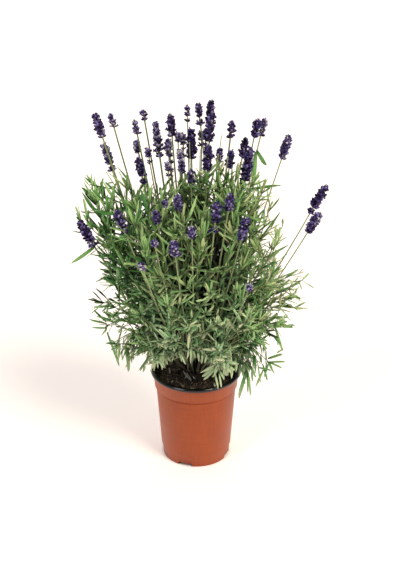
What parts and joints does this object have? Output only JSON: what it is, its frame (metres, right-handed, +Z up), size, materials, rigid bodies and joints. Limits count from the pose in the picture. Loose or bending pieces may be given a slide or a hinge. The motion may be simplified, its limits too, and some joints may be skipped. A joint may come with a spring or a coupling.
{
  "type": "potted lavender",
  "caption": "Flowering lavender plant with narrow grey-green leaves and violet spikes, in a tapered plastic grower's pot filled with soil.",
  "frame": {"origin": "centre of the pot's resting face", "axes": "+Z up, -Y towards the viewer, +X to the viewer's right"},
  "size_m": [0.3332, 0.2776, 0.5206],
  "materials": {
    "pot_plastic": "terracotta plastic outside, black inside and over the glossy rolled lip",
    "soil": "damp peat compost with fibres and bark bits",
    "bark": "fissured grey-brown bark",
    "foliage": "grey-green leaves with a fine felt of hairs",
    "blossom": "felted dark violet calyxes and florets on grey-green stalks"
  },
  "bodies": {
    "root": {"grower_pot": "pot_plastic", "potting_soil": "soil", "woody_crown": "bark", "flower_stem_01": "blossom", "flower_stem_02": "blossom", "flower_stem_03": "blossom", "flower_stem_04": "blossom", "flower_stem_05": "blossom", "flower_stem_06": "blossom", "flower_stem_07": "blossom", "flower_stem_08": "blossom", "flower_stem_09": "blossom", "flower_stem_10": "blossom", "flower_stem_11": "blossom", "flower_stem_12": "blossom", "flower_stem_13": "blossom", "flower_stem_14": "blossom", "flower_stem_15": "blossom", "flower_stem_16": "blossom", "flower_stem_17": "blossom", "flower_stem_18": "blossom", "flower_stem_19": "blossom", "flower_stem_20": "blossom", "flower_stem_21": "blossom", "flower_stem_22": "blossom", "flower_stem_23": "blossom", "flower_stem_24": "blossom", "flower_stem_25": "blossom", "flower_stem_26": "blossom", "flower_stem_27": "blossom", "flower_stem_28": "blossom", "flower_stem_29": "blossom", "flower_stem_30": "blossom", "flower_stem_31": "blossom", "flower_stem_32": "blossom", "flower_stem_33": "blossom", "flower_stem_34": "blossom", "leafy_shoot_01": "foliage", "leafy_shoot_02": "foliage", "leafy_shoot_03": "foliage", "leafy_shoot_04": "foliage", "leafy_shoot_05": "foliage", "leafy_shoot_06": "foliage", "leafy_shoot_07": "foliage", "leafy_shoot_08": "foliage", "leafy_shoot_09": "foliage", "leafy_shoot_10": "foliage", "leafy_shoot_11": "foliage", "leafy_shoot_12": "foliage", "leafy_shoot_13": "foliage", "leafy_shoot_14": "foliage", "leafy_shoot_15": "foliage", "leafy_shoot_16": "foliage", "leafy_shoot_17": "foliage", "leafy_shoot_18": "foliage", "leafy_shoot_19": "foliage", "leafy_shoot_20": "foliage", "leafy_shoot_21": "foliage", "leafy_shoot_22": "foliage", "leafy_shoot_23": "foliage"}
  },
  "joints": []
}
